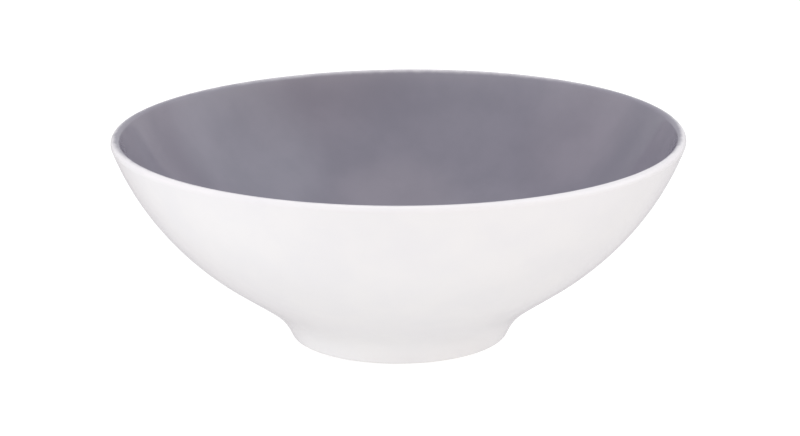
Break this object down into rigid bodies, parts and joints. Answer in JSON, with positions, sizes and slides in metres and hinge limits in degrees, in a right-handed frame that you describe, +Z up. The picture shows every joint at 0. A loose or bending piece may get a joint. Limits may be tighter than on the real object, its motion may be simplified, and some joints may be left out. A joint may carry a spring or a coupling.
{
  "type": "serving bowl",
  "caption": "Round footed serving bowl with a flared wall, grey glazed inside, white glazed outside, and a bare foot ring.",
  "frame": {"origin": "on the table, at the centre of the foot ring", "axes": "+Z up along the axis of the bowl; X and Y are any two level directions"},
  "size_m": [0.25, 0.25, 0.0916],
  "materials": {
    "bare_porcelain": "matte",
    "grey_glaze": "gloss",
    "white_glaze": "gloss"
  },
  "bodies": {
    "root": {"porcelain_body": "bare_porcelain", "inner_glaze": "grey_glaze", "outer_glaze": "white_glaze", "underside_glaze": "white_glaze"}
  },
  "joints": []
}
